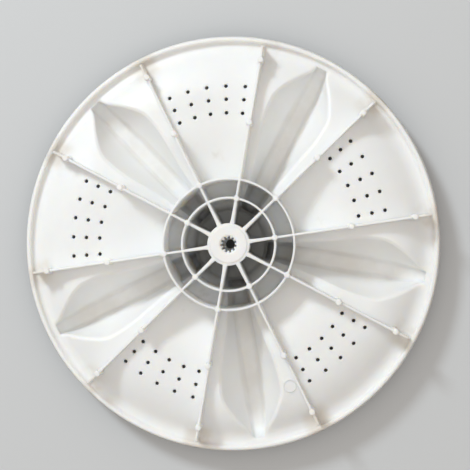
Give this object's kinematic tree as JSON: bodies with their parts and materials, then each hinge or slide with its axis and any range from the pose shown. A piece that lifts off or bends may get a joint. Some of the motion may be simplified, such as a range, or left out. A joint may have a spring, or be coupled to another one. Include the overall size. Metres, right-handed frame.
{
  "type": "washing machine pulsator",
  "caption": "White moulded pulsator disc for a top-loading washing machine, shown underside up, with ribs, a splined hub, drain holes and vane pockets.",
  "frame": {"origin": "on the drive axis, in the plane of the five vane crests that the part lies on when it is set down on its wash side", "axes": "+Z along the drive axis, out of the splined socket's mouth and away from the wash side, so the underside faces up; +X along one rib that has its nub on the inner ring"},
  "size_m": [0.33, 0.33, 0.0505],
  "materials": {
    "body": "white moulded polypropylene, satin gloss"
  },
  "bodies": {
    "root": {"pulsator": "body"}
  },
  "joints": []
}
